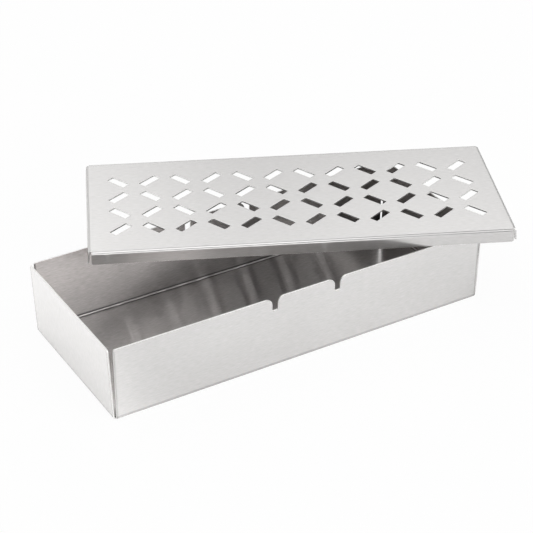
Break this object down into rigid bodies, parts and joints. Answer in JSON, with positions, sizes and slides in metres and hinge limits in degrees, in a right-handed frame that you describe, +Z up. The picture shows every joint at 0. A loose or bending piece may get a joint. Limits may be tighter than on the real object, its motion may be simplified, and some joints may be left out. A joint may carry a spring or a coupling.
{
  "type": "grill smoker box",
  "caption": "Shallow folded steel tray for wood chips, with notched long walls and a loose slotted lid that lies askew on its rim.",
  "frame": {"origin": "middle of the tray's underside, where it rests", "axes": "+X along the tray, -Y towards its front, +Z up"},
  "size_m": [0.2821, 0.1886, 0.0513],
  "materials": {
    "tray_steel": "stainless sheet brushed along the tray, semi-gloss",
    "lid_steel": "stainless sheet brushed along the lid, semi-gloss"
  },
  "bodies": {
    "tray": {"tray": "tray_steel"},
    "lid": {"lid": "lid_steel"}
  },
  "joints": [
    {"name": "lid_lift", "type": "slide", "parent": "tray", "child": "lid", "axis": [0, 0, 1], "range_m": [0, 0.12]}
  ]
}
